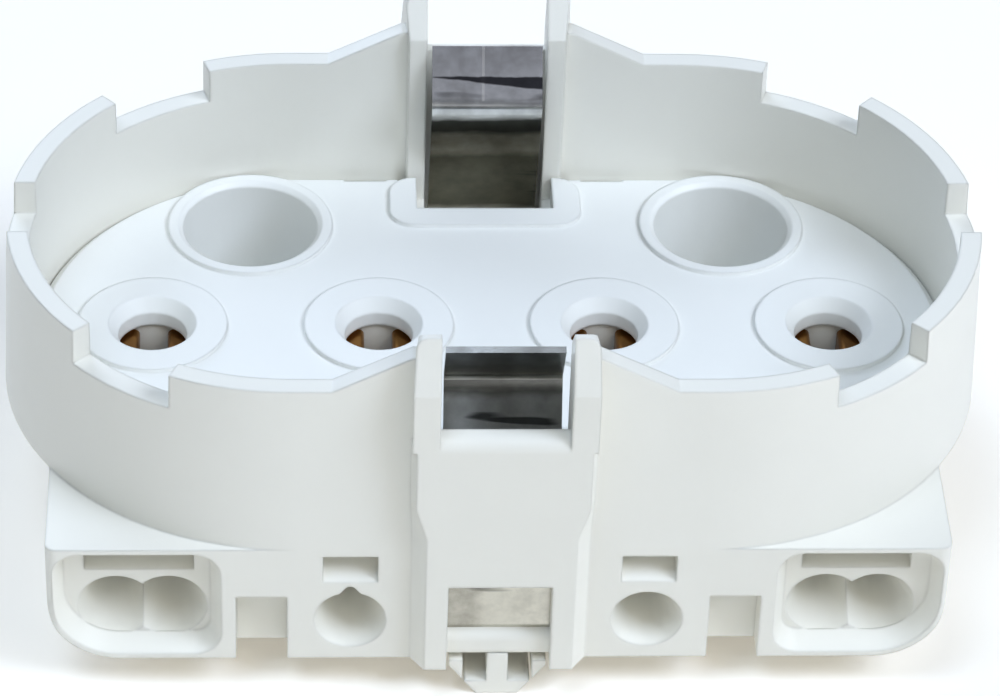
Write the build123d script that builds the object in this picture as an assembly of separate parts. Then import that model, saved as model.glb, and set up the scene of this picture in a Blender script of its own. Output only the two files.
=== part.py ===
from build123d import *
from math import atan2, cos, degrees, radians, sin
import os

# Millimetres. X runs along the row of pins, Y from the wire entries to the back, Z up from the underside.

# Lamp cap: a row of four pins, and two keys behind it
pin_pitch = 16.0
pin_hole_r = 2.43
pin_mouth_r = 3.1
pin_mouth_drop = 1.0
pin_boss_r = 5.3
key_x = 17.17
key_y = 11.83
key_r = 4.89
key_tube_wall = 0.86
key_boss_wall = 1.08
key_floor = 1.2
boss_h = 0.3
lead_in = 0.35

# Cup, from the underside up
base_h = 9.8
seat_rise = 1.6
cover_t = 1.8
cup_depth = 9.85
cup_inner_r = 18.3
cup_end_room = 8.45
rim_wall = 1.45
wall_growth = 0.55
rim_rise = 2.75
rim_slope_run = 5.3
notch_depth = 2.65
front_notch_angles = (42.0, 65.5)
rear_notch_angles = (46.5, 71.0)
end_notch_w = 5.7
end_notch_shift = 0.85

# Base and the wire entries in its front
base_corner_r = 5.0
base_edge_r = 0.8
base_skin = 1.6
front_wall = 7.4
entry_z = 3.5
entry_mouth_r = 2.47
wire_r = 1.1
funnel_depth = 4.4
nick_r = 0.42
nick_rise = 0.12
nick_w = 1.9
nick_depth = 1.6
single_offset = 2.19
twin_offset = 0.42
twin_pitch = 3.6
twin_mouth_r = 2.65
release_bridge = 0.9
release_w = 3.75
release_h = 2.3
release_ramp = 1.9
release_run = 3.0
twin_bridge = 0.6
twin_release_w = 7.5
twin_ramp = 1.3
base_side = 6.3
recess_in = 5.6
recess_shift = 0.18
recess_rim = 0.4
recess_depth = 1.6
recess_draft = 0.75
recess_r = 1.9
mouth_cut = 0.5
foot_notch_w = 3.5
foot_notch_h = 5.55
foot_notch_depth = 2.05
foot_notch_shift = 0.25

# Clip towers
tower_out = 1.3
tower_wall = 1.4
neck_w = 10.2
neck_flare = 0.95
head_w = 11.74
head_flare = 0.33
shoulder_rise = 2.0
shoulder_h = 2.6
head_drop = 3.75
wall_round = 1.0
rib_t = 1.85
rib_taper = 0.54
rib_in = 0.7
rib_rise = 5.15
rib_lead = (2.4, 2.6)
rib_lean = (1.3, 4.1)
rib_round = 0.9
front_wall_drop = 2.75
rear_wall_drop = 0.0
window_w = 7.1
window_h = 7.5

# Snap feet
bar_set = 0.7
bar_low = 0.6
bar_h = 2.1
bar_round = 0.7
foot_depth = 5.0
foot_w = 6.7
foot_tip_w = 2.9
foot_drop = 2.8
foot_shoulder = 0.2
stem_w = 1.45
wing_t = 0.95
foot_web = 1.15
wing_gap = 0.35

# Steel clips and brass contacts
clip_w = 8.0
clip_t = 0.45
clip_side_gap = 0.35
clip_slot_gap = 0.25
clip_nose_in = 3.2
clip_nose_drop = 1.85
clip_tip_in = 0.75
clip_tip_rise = 2.15
clip_knee_drop = 1.3
clip_bend = 1.0
strip_t = 0.4
strip_bend = 0.45
pin_grip = 1.0
blade_w = 4.8
blade_clear = 0.35
lip_out = 1.5
single_strip_w = 3.4
strip_side_gap = 0.4
strip_end_gap = 0.4
chamber_room = 0.2
tunnel_roof = 1.1
spring_t = 0.35
spring_bend = 0.5
spring_set = 0.8
spring_leg = 7.4
spring_reach = 5.6
spring_lift = 0.9
twin_spring_set = 2.0
twin_spring_leg = 6.2

# Cover details and clearances
window_edge = 4.6
cover_window_w = 10.0
border_w = 2.0
border_h = 0.3
border_r = 1.8
edge_bevel = 0.6
relief_x = (7.2, 10.3)
relief_in = 0.9
relief_depth = 0.6
seat_ledge = 1.0
fit_gap = 0.15
tube_gap = 0.3

# Places that follow from the sizes above
inner_pin = pin_pitch / 2
outer_pin = 3 * pin_pitch / 2
pins = [-outer_pin, -inner_pin, inner_pin, outer_pin]
cup_arc_x = outer_pin + cup_end_room - cup_inner_r
rim_r = cup_inner_r + rim_wall
face_y = rim_r + wall_growth
seat_z = base_h + seat_rise
floor_z = seat_z + cover_t
rim_z = floor_z + cup_depth
notch_z = rim_z - notch_depth
peak_z = rim_z + rim_rise
rib_z = rim_z + rib_rise
boss_z = floor_z + boss_h
key_tube_r = key_r + key_tube_wall
key_boss_r = key_r + key_boss_wall
single_x = inner_pin + single_offset
twin_x = outer_pin + twin_offset
recess_x = twin_x + recess_shift
base_half = recess_x + base_side
entry_top = entry_z + entry_mouth_r
bed_y = face_y - recess_depth
bed_top = base_h - recess_rim - recess_draft
chamber_y = face_y - front_wall
chamber_back = blade_w / 2 + chamber_room
tunnel_z = base_h - tunnel_roof
twin_strip_w = twin_pitch + 2 * wire_r + strip_side_gap / 2
fork_half = pin_grip + lip_out
single_room = single_strip_w / 2 + strip_side_gap
twin_room = twin_strip_w / 2 + strip_side_gap
inner_chamber = (inner_pin - fork_half - strip_side_gap, single_x + single_room)
outer_chamber = (twin_x - twin_room, twin_x + twin_room)
tower_y = face_y + tower_out
slot_y = tower_y - tower_wall
shoulder_z = base_h + shoulder_rise
head_z = rim_z - head_drop
bar_y = tower_y - bar_set
bar_top = bar_low + bar_h
clip_gap = (-clip_w / 2 - clip_side_gap, clip_w / 2 + clip_side_gap)
rib_half = clip_gap[1] + rib_t
rib_y = cup_inner_r - rib_in
knee_z = base_h - clip_knee_drop
window_y = cup_inner_r - window_edge
far = 2 * base_half


def stadium(radius):
    return SlotCenterToCenter(2 * cup_arc_x, 2 * radius)


def block(x, y, z):
    """A box between two limits on each axis."""
    centre = ((x[0] + x[1]) / 2, (y[0] + y[1]) / 2, (z[0] + z[1]) / 2)
    return Pos(*centre) * Box(abs(x[1] - x[0]), abs(y[1] - y[0]), abs(z[1] - z[0]))


def across(centre, width):
    """Limits of a width about a centre."""
    return (centre - width / 2, centre + width / 2)


def outline(points):
    return make_face(Polyline(*points, close=True))


def both_sides(solid):
    """A solid and its mirror image on the other side of the middle."""
    return [solid, mirror(solid, about=Plane.YZ)]


def front_and_rear(solid):
    """A solid at the front and its mirror image at the back."""
    return [solid, mirror(solid, about=Plane.XZ)]


def rim_notch(angles, back):
    """A right-hand notch: a sector about the end arc's centre, from the notch's sill upwards."""
    points = [(cup_arc_x, 0)]
    for angle in angles:
        turn = radians(angle if back else -angle)
        points.append((cup_arc_x + far * cos(turn), far * sin(turn)))
    return extrude(Pos(0, 0, notch_z) * outline(points), amount=far)


def cup_wall():
    """The tapered stadium wall, its rim sloping up to the clip towers and notched all round."""
    draft = degrees(atan2(wall_growth, rim_z - base_h))
    wall = extrude(Pos(0, 0, base_h) * stadium(face_y), amount=peak_z - base_h, taper=draft)
    slope_x = rib_half + rim_slope_run
    crest = [(-far, 0), (far, 0), (far, rim_z), (slope_x, rim_z), (rib_half, peak_z)]
    crest += [(-rib_half, peak_z), (-slope_x, rim_z), (-far, rim_z)]
    wall &= extrude(Plane.XZ * outline(crest), amount=far, both=True)
    wall -= extrude(Pos(0, 0, seat_z) * stadium(cup_inner_r), amount=far)
    notches = both_sides(rim_notch(front_notch_angles, False))
    notches += both_sides(rim_notch(rear_notch_angles, True))
    notches += both_sides(block((cup_arc_x, far), across(end_notch_shift, end_notch_w), (notch_z, far)))
    return wall - notches


def base_section():
    """The base's front view, with rounded lower corners."""
    section = Pos(0, base_h / 2) * Rectangle(2 * base_half, base_h)
    return fillet(section.vertices().group_by(Axis.Y)[0], base_corner_r)


def base_block():
    """The base, where its front view meets a plan with eased corners."""
    plan = RectangleRounded(2 * base_half, 2 * face_y, base_edge_r)
    return extrude(Plane.XZ * base_section(), amount=far, both=True) & extrude(plan, amount=far)


def pier_plan(front_w, flare):
    """The plan of a pier that widens from its front to the cup's face."""
    back = front_w / 2 + flare
    side = [(back, tower_wall - slot_y), (back, -face_y), (front_w / 2, -tower_y)]
    return outline(side + [(-x, y) for x, y in reversed(side)])


def pier():
    """The pier: a flared neck that spreads through sloping shoulders to a wider head."""
    neck = Pos(0, 0, shoulder_z) * pier_plan(neck_w, neck_flare)
    head = Pos(0, 0, shoulder_z + shoulder_h) * pier_plan(head_w, head_flare)
    lower = extrude(pier_plan(neck_w, neck_flare), amount=shoulder_z)
    upper = extrude(head, amount=head_z - shoulder_z - shoulder_h)
    return lower + [loft([neck, head], ruled=True), upper]


def rib_pair():
    """The ribs that guide the lamp, narrower inwards, with a lead-in and a front that leans back."""
    front = Pos(0, (base_h + rib_z) / 2) * Rectangle(2 * rib_half, rib_z - base_h)
    front = fillet(front.vertices().group_by(Axis.Y)[-1], rib_round)
    narrowing = degrees(atan2(rib_taper, tower_y - rib_y))
    ribs = extrude(Plane.XZ.offset(tower_y) * front, amount=rib_y - tower_y, taper=narrowing)
    lead = [(-rib_y, rib_z), (-rib_y, rib_z - rib_lead[1]), (-rib_y - rib_lead[0], rib_z)]
    lean = [(-tower_y, rib_z), (-tower_y, rib_z - rib_lean[1]), (rib_lean[0] - tower_y, rib_z)]
    ribs -= [extrude(Plane.YZ * outline(points), amount=far, both=True) for points in (lead, lean)]
    return ribs - block((-far, far), (-far, -face_y), (0, head_z))


def tower(wall_drop):
    """The front clip tower: the pier and its ribs, with a low wall between them rounded at its top."""
    wall_z = rim_z - wall_drop
    body = pier() + rib_pair() - block(clip_gap, (-far, 0), (wall_z, far))
    edge = body.edges().filter_by(Axis.X).sort_by_distance((0, -tower_y, wall_z))[0]
    return fillet(edge, wall_round)


def clip_space():
    """What the front clip and the window under it take out of the housing."""
    window = across(0, window_w)
    return [
        block(clip_gap, (-slot_y, -window_y), (knee_z, far)),
        block(clip_gap, (-slot_y, -slot_y + clip_t + clip_slot_gap), (bar_top, knee_z)),
        block(window, (-far, -slot_y), (-far, window_h)),
        block(window, (-far, -bar_y + foot_depth), (-far, bar_low)),
    ]


def snap_foot():
    """The bar across the front window, and the arrow of a stem and two springy wings under it."""
    bar = block(across(0, window_w), (-bar_y, -bar_y + foot_depth), (bar_low, bar_top))
    bar = fillet(bar.edges().filter_by(Axis.X).group_by(Axis.Y)[0], bar_round)
    wing_top = bar_low - wing_gap
    half, tip = foot_w / 2, foot_tip_w / 2
    side = [(tip, -foot_drop), (half, -foot_shoulder), (half, wing_top)]
    arrow = outline(side + [(-x, z) for x, z in reversed(side)])
    slot = half - wing_t - stem_w / 2
    slot_low = foot_web - foot_drop
    for centre in (-1, 1):
        x = centre * (stem_w + slot) / 2
        arrow -= Pos(x, (slot_low + bar_low) / 2) * Rectangle(slot, bar_low - slot_low)
    stem = Pos(0, (wing_top + bar_low) / 2) * Rectangle(stem_w, wing_gap + bar_low)
    foot = extrude(Plane.XZ.offset(bar_y) * (arrow + stem), amount=-foot_depth)
    return bar + foot


def funnel(x, mouth_r, mouth_y):
    """A cone that leads a wire to a short straight throat, and so into its chamber."""
    throat_y = mouth_y - funnel_depth
    cone = Pos(0, 0, (throat_y + mouth_y) / 2) * Cone(wire_r, mouth_r, funnel_depth)
    tube = Pos(0, 0, chamber_y) * Cylinder(wire_r, 2 * (throat_y - chamber_y))
    return Pos(x, 0, entry_z) * Plane.XZ.location * (cone + tube)


def release_slot(width, low, high, mouth_y, rise):
    """A slot for the release tool, whose floor rises on its way in."""
    front, back = -mouth_y - mouth_cut, mouth_cut - chamber_y
    points = [(front, low), (-mouth_y, low), (release_run - mouth_y, low + rise)]
    points += [(back, low + rise), (back, high), (front, high)]
    return extrude(Plane.YZ * outline(points), amount=width / 2, both=True)


def single_entry():
    """The right-hand single entry, with the release slot above it."""
    low = entry_top + release_bridge
    slot = release_slot(release_w, low, low + release_h, face_y, release_ramp)
    return [funnel(single_x, entry_mouth_r, face_y), Pos(single_x, 0, 0) * slot]


def twin_recess():
    """The right-hand drafted recess, which follows the base's outline at an even rim."""
    mouth = offset(base_section(), amount=-recess_rim, kind=Kind.INTERSECTION)
    mouth &= Pos(recess_x - recess_in + far / 2, 0) * Rectangle(far, 2 * far)
    inner, outer = recess_x - recess_in, base_half - recess_rim
    low, high = recess_rim, base_h - recess_rim
    corners = [mouth.vertices().sort_by_distance(p)[0] for p in ((inner, low), (inner, high), (outer, high))]
    mouth = fillet(corners, recess_r)
    draft = degrees(atan2(recess_draft, recess_depth))
    return extrude(Plane.XZ.offset(face_y) * mouth, amount=-recess_depth, taper=draft)


def twin_entry():
    """The right-hand pair of entries in their recess, with one wide release slot."""
    low = entry_z + twin_mouth_r + twin_bridge
    slot = release_slot(twin_release_w, low, bed_top, bed_y, twin_ramp)
    funnels = [funnel(x, twin_mouth_r, bed_y) for x in across(twin_x, twin_pitch)]
    return [twin_recess(), *funnels, Pos(recess_x, 0, 0) * slot]


def entry_nick():
    """The nick in the rim of the left-hand single entry."""
    tip = Pos(0, nick_rise) * Circle(nick_r)
    shape = make_hull(tip.edges() + Line((-nick_w / 2, -nick_r), (nick_w / 2, -nick_r)).edges())
    inside = Plane.XZ.offset(face_y - nick_depth)
    return extrude(inside * Pos(-single_x, entry_top) * shape, amount=2 * nick_depth)


def front_cuts():
    """Everything cut into the base's front face."""
    cuts = []
    for cut in single_entry() + twin_entry():
        cuts += both_sides(cut)
    notch_x = across(pin_pitch + foot_notch_shift, foot_notch_w)
    cuts += both_sides(block(notch_x, (-far, -face_y + foot_notch_depth), (-far, foot_notch_h)))
    return cuts + [entry_nick()]


def chambers():
    """Pockets under the cover for the contacts and for the tubes of the key wells."""
    ledge = extrude(stadium(cup_inner_r - seat_ledge), amount=far)
    inner = block(inner_chamber, (-chamber_y, chamber_back), (base_skin, far))
    outer = block(outer_chamber, (-chamber_y, chamber_back), (base_skin, far)) & ledge
    tunnel = block(outer_chamber, (-chamber_y, -chamber_back), (base_skin, tunnel_z))
    well = extrude(Pos(key_x, key_y, base_skin) * Circle(key_tube_r + tube_gap), amount=far)
    cuts = []
    for cut in (inner, outer, tunnel, well):
        cuts += both_sides(cut)
    return cuts


def housing():
    rear_tower = mirror(tower(rear_wall_drop), about=Plane.XZ)
    solid = base_block() + [cup_wall(), tower(front_wall_drop), rear_tower]
    for space in clip_space():
        solid -= front_and_rear(space)
    solid -= front_cuts()
    solid -= chambers()
    return solid + front_and_rear(snap_foot())


def key_well():
    """The right-hand key well: boss, tube and straight bore, turned about its own axis."""
    low = base_skin + tube_gap
    profile = [(0, low), (key_tube_r, low), (key_tube_r, seat_z), (key_boss_r, seat_z)]
    profile += [(key_boss_r, boss_z), (key_r + lead_in, boss_z), (key_r, boss_z - lead_in)]
    profile += [(key_r, low + key_floor), (0, low + key_floor)]
    return Pos(key_x, key_y, 0) * revolve(Plane.XZ * outline(profile), Axis.Z)


def window_border():
    """The raised border round the front clip window."""
    width = cover_window_w + 2 * border_w
    depth = rib_y - fit_gap - window_y + border_w
    frame = Pos(0, -window_y + border_w - depth / 2) * RectangleRounded(width, depth, border_r)
    return extrude(Pos(0, 0, seat_z) * frame, amount=cover_t + border_h)


def cover_openings():
    """What the front clip, the tower's ribs and the edge reliefs take out of the cover."""
    rib_clear = rib_half + fit_gap
    cuts = [block(across(0, cover_window_w), (-far, -window_y), (0, far))]
    cuts.append(block((-rib_clear, rib_clear), (-far, -rib_y + fit_gap), (0, far)))
    relief = block(relief_x, (-far, -cup_inner_r + relief_in), (floor_z - relief_depth, far))
    return cuts + both_sides(relief)


def pin_bore():
    """A pin hole with a flared mouth, turned about its own axis."""
    profile = [(0, 0), (pin_hole_r, 0), (pin_hole_r, boss_z - pin_mouth_drop), (pin_mouth_r, boss_z)]
    return revolve(Plane.XZ * outline(profile + [(0, boss_z)]), Axis.Z)


def contact_cover():
    """The cup's floor: a plate with pin bosses, key wells and a bordered window for each clip."""
    edge = stadium(cup_inner_r - fit_gap)
    plate = extrude(Pos(0, 0, seat_z) * edge, amount=cover_t)
    plate = chamfer(plate.edges().group_by(Axis.Z)[-1], edge_bevel)
    plate += [Pos(x, 0, floor_z) * Cylinder(pin_boss_r, 2 * boss_h) for x in pins]
    plate -= both_sides(extrude(Pos(key_x, key_y, 0) * Circle(key_tube_r), amount=far))
    trim = extrude(edge, amount=far)
    for piece in both_sides(key_well()) + front_and_rear(window_border()):
        plate += piece & trim
    for cut in cover_openings():
        plate -= front_and_rear(cut)
    return plate - [Pos(x, 0, 0) * pin_bore() for x in pins]


def bent_strip(view, points, thickness, width, bend):
    """A strip bent along points in a view of it, with its thickness to the left of the path."""
    path = FilletPolyline(*points, radius=bend)
    section = make_face(offset(path, amount=thickness, side=Side.LEFT).edges())
    return extrude(view * section, amount=width / 2, both=True)


def lamp_clip():
    """The front leaf: a straight foot behind the tower, a leaf leaning in to its nose, and a flared tip."""
    foot_y = -slot_y + clip_t
    nose = (-cup_inner_r + clip_nose_in, rim_z - clip_nose_drop)
    tip = (-cup_inner_r + clip_tip_in, rim_z + clip_tip_rise)
    return bent_strip(Plane.YZ, [(foot_y, bar_top), (foot_y, knee_z), nose, tip], clip_t, clip_w, clip_bend)


def pin_fork(x):
    """Two blades that grip a lamp pin, with lips that lie out to both sides under the pin hole."""
    top = seat_z - blade_clear
    path = [(fork_half, top), (pin_grip, top), (pin_grip, base_skin)]
    return [Pos(x, 0, 0) * blade for blade in both_sides(bent_strip(Plane.XZ, path, strip_t, blade_w, strip_bend))]


def pin_contact(pin_x, strip_x, strip_w):
    """A fork for one lamp pin, and the strip that runs forward from it under the wires."""
    layer = (base_skin, base_skin + strip_t)
    reach = across(0, blade_w)
    tongue = block(across(strip_x, strip_w), (strip_end_gap - chamber_y, reach[0]), layer)
    foot = pin_grip + strip_t
    heel = block((min(pin_x - foot, strip_x), max(pin_x + foot, strip_x)), reach, layer)
    return heel + [tongue, *pin_fork(pin_x)]


def wire_spring(x, width, roof, setback, leg):
    """A folded leaf: flat under the roof, then slanting back and down across the wire's path."""
    top = roof - spring_t
    fold = -chamber_y + setback
    points = [(fold + spring_reach - setback, entry_z - spring_lift), (fold, top), (fold + leg, top)]
    return Pos(x, 0, 0) * bent_strip(Plane.YZ, points, spring_t, width, spring_bend)


def build():
    front, rear = front_and_rear(lamp_clip())
    parts = {"housing": housing(), "contact_cover": contact_cover()}
    parts |= {"lamp_clip_front": front, "lamp_clip_rear": rear}
    outer = (twin_x, twin_strip_w, tunnel_z, twin_spring_set, twin_spring_leg)
    inner = (single_x, single_strip_w, seat_z, spring_set, spring_leg)
    for number, pin_x in enumerate(pins, start=1):
        x, width, roof, setback, leg = outer if abs(pin_x) > pin_pitch else inner
        x = x if pin_x > 0 else -x
        parts[f"pin_contact_{number}"] = pin_contact(pin_x, x, width)
        parts[f"wire_spring_{number}"] = wire_spring(x, width, roof, setback, leg)
    return parts


os.makedirs("parts", exist_ok=True)
for name, shape in build().items():
    export_step(shape, f"parts/{name}.step")
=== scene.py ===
from math import cos, radians, sin

import bpy
from mathutils import Matrix, Vector


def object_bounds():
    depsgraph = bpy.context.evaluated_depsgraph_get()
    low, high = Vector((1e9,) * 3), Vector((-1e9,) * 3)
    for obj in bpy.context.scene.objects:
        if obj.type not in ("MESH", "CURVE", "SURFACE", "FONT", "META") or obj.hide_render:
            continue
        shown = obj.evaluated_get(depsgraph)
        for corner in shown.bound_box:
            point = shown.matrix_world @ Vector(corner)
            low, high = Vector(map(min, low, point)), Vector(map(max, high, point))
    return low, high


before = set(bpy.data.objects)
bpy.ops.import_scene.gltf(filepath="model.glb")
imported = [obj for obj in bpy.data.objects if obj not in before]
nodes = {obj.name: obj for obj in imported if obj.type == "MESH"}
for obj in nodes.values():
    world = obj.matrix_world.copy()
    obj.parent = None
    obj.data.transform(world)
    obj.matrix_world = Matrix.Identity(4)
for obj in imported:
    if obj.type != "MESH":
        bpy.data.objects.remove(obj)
cad_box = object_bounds()
scene = bpy.context.scene

# The photograph's camera, in metres, degrees and, for the lens and the sensor, millimetres
CAMERA_AT = Vector((-0.01432, -0.24959, 0.20807))
CAMERA_YAW = 3.431
CAMERA_PITCH = 38.212
CAMERA_ROLL = -2.104
CAMERA_LENS = 160.885
SENSOR = 36.0
CLIP_NEAR = 0.01
CLIP_FAR = 20.0

# Soft boxes: azimuth from the front towards the right and elevation in degrees, size in metres, watts, colour
LIGHT_RADIUS = 0.7
LIGHTS = {
    "key": (60.0, 46.0, 0.32, 2.6, (0.86, 0.97, 1.17)),
    "front": (30.0, 50.0, 0.3, 0.6, (1.06, 1.02, 0.92)),
    "left": (315.0, 68.0, 0.3, 1.35, (0.84, 0.99, 1.19)),
    "back": (207.0, 30.0, 0.42, 2.2, (0.84, 0.97, 1.19)),
    "fill": (3.0, 22.0, 0.3, 0.15, (0.97, 1.0, 1.03)),
    "top": (0.0, 80.0, 0.3, 0.085, (0.97, 1.0, 1.03)),
}
WORLD_TINT = (0.93, 0.97, 1.0)
WORLD_STRENGTH = 0.05

# Floor: white paper with a slight glow, metres
FLOOR_SIZE = 4.0
FLOOR_TONES = [(0.3, (0.98, 0.94, 0.87)), (0.7, (0.99, 0.955, 0.89))]
FLOOR_CLOUD = 30.0
FLOOR_GLOW = 0.13
FLOOR_ROUGHNESS = 0.9

# White plastic: the housing is warmer than the cover, and both have eased edges
HOUSING_WHITE = (0.885, 0.868, 0.79)
COVER_WHITE = (0.88, 0.885, 0.85)
CLOUD_SHADE = 0.985
CLOUD_SCALE = 140.0
GLOSS_SCALE = 900.0
GLOSS_ROUGHNESS = (0.36, 0.5)
GRAIN_SCALE = 2600.0
GRAIN_STRENGTH = 0.12
GRAIN_HEIGHT = 0.00004
PLASTIC_SHINE = 0.4
EDGE_RADIUS = 0.0003
EDGE_SAMPLES = 4

# Steel: painted reflections, as tones by height in metres, wavering a little across the strip
STEEL_TOP = 0.026
BAND_WAVER = 0.02
BAND_SCALE = 300.0
BAND_STRETCH = (0.8, 0.8, 2.0)
SMUDGE_SCALE = 420.0
SMUDGES = [(0.35, (1.0, 1.0, 1.0)), (0.7, (0.62, 0.61, 0.6))]
STREAK_SCALE = 700.0
STREAK_STRETCH = (0.13, 0.13, 1.0)
STREAKS = [(0.63, (1.0, 1.0, 1.0)), (0.68, (0.2, 0.2, 0.2))]
STEEL_POLISH = 350.0
STEEL_ROUGHNESS = (0.14, 0.26)
# Painted reflections on the rear clip and springs: bright and dark bands by height stand in for what the bent
# strip reflects
REAR_PAINTED_REFLECTIONS = [
    (0.0085, (0.6, 0.575, 0.5)), (0.0098, (0.1, 0.095, 0.065)), (0.0156, (0.15, 0.14, 0.1)),
    (0.0165, (0.45, 0.42, 0.35)), (0.0182, (0.4, 0.38, 0.33)), (0.0189, (0.06, 0.06, 0.05)),
    (0.0199, (0.07, 0.07, 0.06)), (0.0205, (0.8, 0.8, 0.77)), (0.0213, (0.7, 0.7, 0.69)),
    (0.0217, (0.3, 0.31, 0.33)), (0.0221, (0.5, 0.51, 0.56)), (0.025, (0.46, 0.47, 0.52)),
]
# Painted reflections on the front clip: bands by height stand in for what the bent strip reflects
FRONT_PAINTED_REFLECTIONS = [
    (0.0085, (0.6, 0.575, 0.5)), (0.012, (0.5, 0.5, 0.5)), (0.0195, (0.55, 0.56, 0.58)),
    (0.0201, (0.28, 0.28, 0.27)), (0.0206, (0.7, 0.69, 0.64)), (0.0214, (0.6, 0.59, 0.55)),
    (0.0219, (0.3, 0.3, 0.28)), (0.025, (0.72, 0.75, 0.76)),
]

# The rear clip's dark wedge mark and pale scratch, in metres
MARK_HEIGHT = 0.0231
MARK_START = 0.0036
MARK_TILT = 0.045
MARK_SPREAD = 0.048
MARK_WOBBLE = 0.00015
MARK_WOBBLE_SCALE = 500.0
MARK_EDGE = 0.00008
MARK_TONES = [(0.0, (0.09, 0.09, 0.1)), (1.0, (1.0, 1.0, 1.0))]
SCRATCH_X = -0.0003
SCRATCH_HALF = 0.0001
SCRATCH_LOW = 0.0218
SCRATCH_TONE = (0.8, 0.8, 0.82, 1.0)
SCRATCH_SHARE = 0.32

# Brass, browned by tarnish
TARNISH_SCALE = 260.0
TARNISH = [(0.3, (0.4, 0.2, 0.055)), (0.75, (0.2, 0.09, 0.03))]
BRASS_ROUGHNESS = (0.25, 0.42)


def add_camera():
    """A camera that stands and looks as the photograph's did."""
    yaw, pitch, roll = (radians(a) for a in (CAMERA_YAW, CAMERA_PITCH, CAMERA_ROLL))
    ahead = Vector((sin(yaw) * cos(pitch), cos(yaw) * cos(pitch), -sin(pitch)))
    level_right = Vector((cos(yaw), -sin(yaw), 0.0))
    level_down = ahead.cross(level_right)
    right = cos(roll) * level_right + sin(roll) * level_down
    down = -sin(roll) * level_right + cos(roll) * level_down
    data = bpy.data.cameras.new("camera")
    data.sensor_fit = "HORIZONTAL"
    data.sensor_width = SENSOR
    data.lens = CAMERA_LENS
    data.clip_start = CLIP_NEAR
    data.clip_end = CLIP_FAR
    camera = bpy.data.objects.new("camera", data)
    turn = Matrix((right, -down, -ahead)).transposed().to_4x4()
    camera.matrix_world = Matrix.Translation(CAMERA_AT) @ turn
    scene.collection.objects.link(camera)
    scene.camera = camera


def add_light(name, azimuth, elevation, size, watts, colour):
    """A round soft box that faces the part."""
    a, e = radians(azimuth), radians(elevation)
    place = LIGHT_RADIUS * Vector((sin(a) * cos(e), -cos(a) * cos(e), sin(e)))
    data = bpy.data.lights.new(name, "AREA")
    data.shape = "DISK"
    data.size = size
    data.energy = watts
    data.color = colour
    light = bpy.data.objects.new(name, data)
    turn = (-place).to_track_quat("-Z", "Y").to_matrix().to_4x4()
    light.matrix_world = Matrix.Translation(place) @ turn
    scene.collection.objects.link(light)


def new_material(name):
    material = bpy.data.materials.new(name)
    material.use_nodes = True
    tree = material.node_tree
    return material, tree, tree.nodes["Principled BSDF"]


def own_place(tree):
    """A point in the part's own coordinates, so that a pattern stays with its piece."""
    return tree.nodes.new("ShaderNodeTexCoord").outputs["Object"]


def noise(tree, scale, detail=3.0, rough=0.55, stretch=None):
    place = own_place(tree)
    if stretch:
        mapping = tree.nodes.new("ShaderNodeMapping")
        mapping.inputs["Scale"].default_value = stretch
        tree.links.new(place, mapping.inputs["Vector"])
        place = mapping.outputs["Vector"]
    texture = tree.nodes.new("ShaderNodeTexNoise")
    texture.inputs["Scale"].default_value = scale
    texture.inputs["Detail"].default_value = detail
    texture.inputs["Roughness"].default_value = rough
    tree.links.new(place, texture.inputs["Vector"])
    return texture.outputs["Fac"]


def ramp(tree, value, stops):
    """A colour ramp of (position, colour) stops."""
    node = tree.nodes.new("ShaderNodeValToRGB")
    elements = node.color_ramp.elements
    while len(elements) < len(stops):
        elements.new(0.5)
    for element, (position, colour) in zip(elements, stops):
        element.position = position
        element.color = (*colour, 1.0)
    tree.links.new(value, node.inputs["Fac"])
    return node.outputs["Color"]


def spread(tree, value, low, high):
    """A value from 0 to 1, spread over a range."""
    node = tree.nodes.new("ShaderNodeMapRange")
    node.inputs["To Min"].default_value = low
    node.inputs["To Max"].default_value = high
    tree.links.new(value, node.inputs["Value"])
    return node.outputs["Result"]


def sums(tree, operation, *terms):
    """A sum on sockets and numbers."""
    node = tree.nodes.new("ShaderNodeMath")
    node.operation = operation
    for entry, term in zip(node.inputs, terms):
        if isinstance(term, float):
            entry.default_value = term
        else:
            tree.links.new(term, entry)
    return node.outputs["Value"]


def colour_mix(tree, blend):
    """A node that mixes two colours."""
    node = tree.nodes.new("ShaderNodeMix")
    node.data_type = "RGBA"
    node.blend_type = blend
    return node


def product(tree, first, second):
    """Two colours multiplied."""
    node = colour_mix(tree, "MULTIPLY")
    node.inputs["Factor"].default_value = 1.0
    tree.links.new(first, node.inputs["A"])
    tree.links.new(second, node.inputs["B"])
    return node.outputs["Result"]


def grain(tree, shader, height, normal):
    """A fine grain laid over a normal."""
    node = tree.nodes.new("ShaderNodeBump")
    node.inputs["Strength"].default_value = GRAIN_STRENGTH
    node.inputs["Distance"].default_value = GRAIN_HEIGHT
    tree.links.new(height, node.inputs["Height"])
    tree.links.new(normal, node.inputs["Normal"])
    tree.links.new(node.outputs["Normal"], shader.inputs["Normal"])


def eased_edges(tree):
    """Normals that turn over each edge as a moulded radius does."""
    node = tree.nodes.new("ShaderNodeBevel")
    node.samples = EDGE_SAMPLES
    node.inputs["Radius"].default_value = EDGE_RADIUS
    return node.outputs["Normal"]


def plastic(name, colour):
    """White moulded plastic with faint clouding, eased edges and a fine spark-eroded grain."""
    material, tree, shader = new_material(name)
    shade = tuple(CLOUD_SHADE * c for c in colour)
    cloud = ramp(tree, noise(tree, CLOUD_SCALE), [(0.3, colour), (0.7, shade)])
    tree.links.new(cloud, shader.inputs["Base Color"])
    gloss = spread(tree, noise(tree, GLOSS_SCALE), *GLOSS_ROUGHNESS)
    tree.links.new(gloss, shader.inputs["Roughness"])
    grain(tree, shader, noise(tree, GRAIN_SCALE, 2.0), eased_edges(tree))
    shader.inputs["Specular IOR Level"].default_value = PLASTIC_SHINE
    return material


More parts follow.
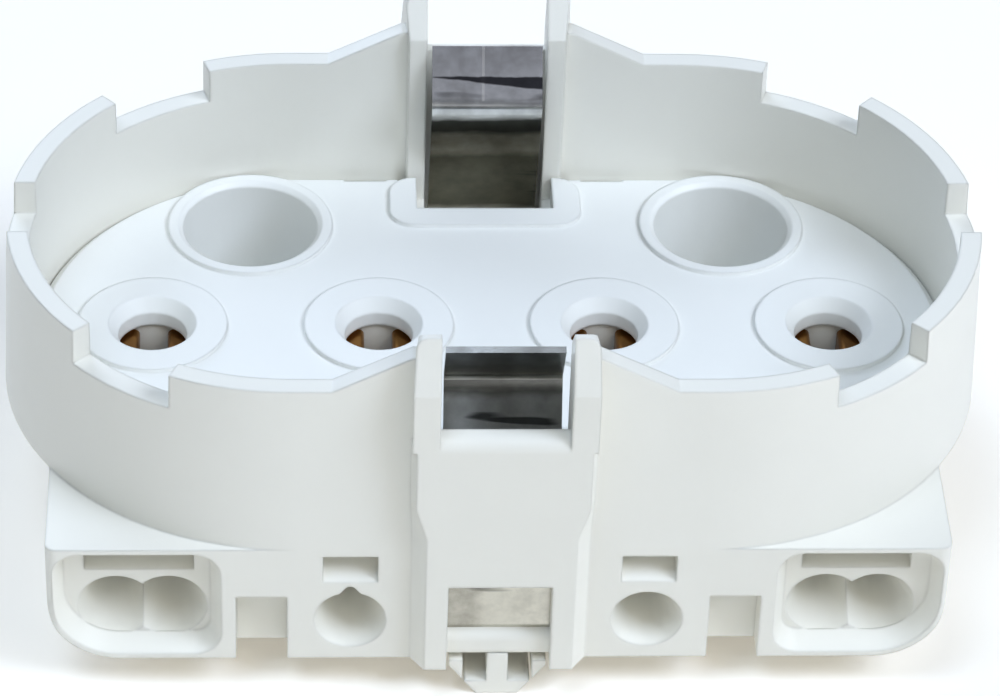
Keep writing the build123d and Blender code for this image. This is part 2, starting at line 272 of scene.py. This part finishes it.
def place_of(tree):
    """A point's X and Z in the part's own coordinates."""
    node = tree.nodes.new("ShaderNodeSeparateXYZ")
    tree.links.new(own_place(tree), node.inputs["Vector"])
    return node.outputs["X"], node.outputs["Z"]


def height_share(tree):
    """How far up the steel a point lies, from 0 to 1, wavering across the strip."""
    share = sums(tree, "DIVIDE", place_of(tree)[1], STEEL_TOP)
    waver = noise(tree, BAND_SCALE, 3.0, 0.6, BAND_STRETCH)
    return sums(tree, "ADD", share, spread(tree, waver, -BAND_WAVER, BAND_WAVER))


def wedge_mark(tree):
    """A dark mark across the strip that widens to the right."""
    x, z = place_of(tree)
    wobble = spread(tree, noise(tree, MARK_WOBBLE_SCALE), -MARK_WOBBLE, MARK_WOBBLE)
    line = sums(tree, "ADD", sums(tree, "MULTIPLY_ADD", x, MARK_TILT, z), wobble)
    off = sums(tree, "ABSOLUTE", sums(tree, "SUBTRACT", line, MARK_HEIGHT))
    half = sums(tree, "MULTIPLY", sums(tree, "ADD", x, MARK_START), MARK_SPREAD)
    depth = sums(tree, "DIVIDE", sums(tree, "SUBTRACT", off, half), MARK_EDGE)
    return ramp(tree, depth, MARK_TONES)


def scratched(tree, colour):
    """The colour with a pale scratch down the middle of the strip's upper flare."""
    x, z = place_of(tree)
    off = sums(tree, "ABSOLUTE", sums(tree, "SUBTRACT", x, SCRATCH_X))
    near = sums(tree, "LESS_THAN", off, SCRATCH_HALF)
    there = sums(tree, "MULTIPLY", near, sums(tree, "GREATER_THAN", z, SCRATCH_LOW))
    node = colour_mix(tree, "MIX")
    node.inputs["B"].default_value = SCRATCH_TONE
    tree.links.new(sums(tree, "MULTIPLY", there, SCRATCH_SHARE), node.inputs["Factor"])
    tree.links.new(colour, node.inputs["A"])
    return node.outputs["Result"]


def spring_steel(name, bands, marked=False):
    """Bright rolled strip, with reflections painted in bands by height along it, and random smudges and dark
    streaks over them.
    """
    material, tree, shader = new_material(name)
    # Painted reflections: the bands of tone by height stand in for what the strip reflects
    colour = ramp(tree, height_share(tree), [(height / STEEL_TOP, tone) for height, tone in bands])
    smudge = ramp(tree, noise(tree, SMUDGE_SCALE, 4.0, 0.6), SMUDGES)
    streak = ramp(tree, noise(tree, STREAK_SCALE, 2.0, 0.5, STREAK_STRETCH), STREAKS)
    colour = product(tree, product(tree, colour, smudge), streak)
    if marked:
        colour = product(tree, scratched(tree, colour), wedge_mark(tree))
    tree.links.new(colour, shader.inputs["Base Color"])
    polish = spread(tree, noise(tree, STEEL_POLISH), *STEEL_ROUGHNESS)
    tree.links.new(polish, shader.inputs["Roughness"])
    shader.inputs["Metallic"].default_value = 1.0
    return material


def brass():
    """Stamped brass, browned by tarnish."""
    material, tree, shader = new_material("brass")
    tarnish = noise(tree, TARNISH_SCALE)
    tree.links.new(ramp(tree, tarnish, TARNISH), shader.inputs["Base Color"])
    tree.links.new(spread(tree, tarnish, *BRASS_ROUGHNESS), shader.inputs["Roughness"])
    shader.inputs["Metallic"].default_value = 1.0
    return material


def floor_paper():
    """White paper that glows a little, as a lit sweep does."""
    material, tree, shader = new_material("floor_paper")
    tone = ramp(tree, noise(tree, FLOOR_CLOUD), FLOOR_TONES)
    tree.links.new(tone, shader.inputs["Base Color"])
    tree.links.new(tone, shader.inputs["Emission Color"])
    shader.inputs["Emission Strength"].default_value = FLOOR_GLOW
    shader.inputs["Roughness"].default_value = FLOOR_ROUGHNESS
    return material


def add_floor(height):
    mesh = bpy.data.meshes.new("floor")
    half = FLOOR_SIZE / 2
    corners = [(-half, -half, height), (half, -half, height), (half, half, height), (-half, half, height)]
    mesh.from_pydata(corners, [], [(0, 1, 2, 3)])
    floor = bpy.data.objects.new("floor", mesh)
    scene.collection.objects.link(floor)
    mesh.materials.append(floor_paper())


def add_world():
    """A faint even light from all round."""
    world = bpy.data.worlds.new("studio")
    scene.world = world
    world.use_nodes = True
    shade = world.node_tree.nodes["Background"]
    shade.inputs["Color"].default_value = (*WORLD_TINT, 1.0)
    shade.inputs["Strength"].default_value = WORLD_STRENGTH


def dress(names, material):
    for name in names:
        slots = nodes[name].data.materials
        slots.clear()
        slots.append(material)


def named(start):
    """The nodes whose names begin with a word."""
    return [name for name in nodes if name.startswith(start)]


add_camera()
add_world()
add_floor(cad_box[0][2])
for name, light in LIGHTS.items():
    add_light(name, *light)

dress(["housing"], plastic("white_plastic", HOUSING_WHITE))
dress(["contact_cover"], plastic("cover_plastic", COVER_WHITE))
dress(["lamp_clip_front"], spring_steel("front_steel_painted_reflections", FRONT_PAINTED_REFLECTIONS))
dress(["lamp_clip_rear", *named("wire_spring")], spring_steel("rear_steel_painted_reflections", REAR_PAINTED_REFLECTIONS, True))
dress(named("pin_contact"), brass())

scene.view_settings.view_transform = "Standard"
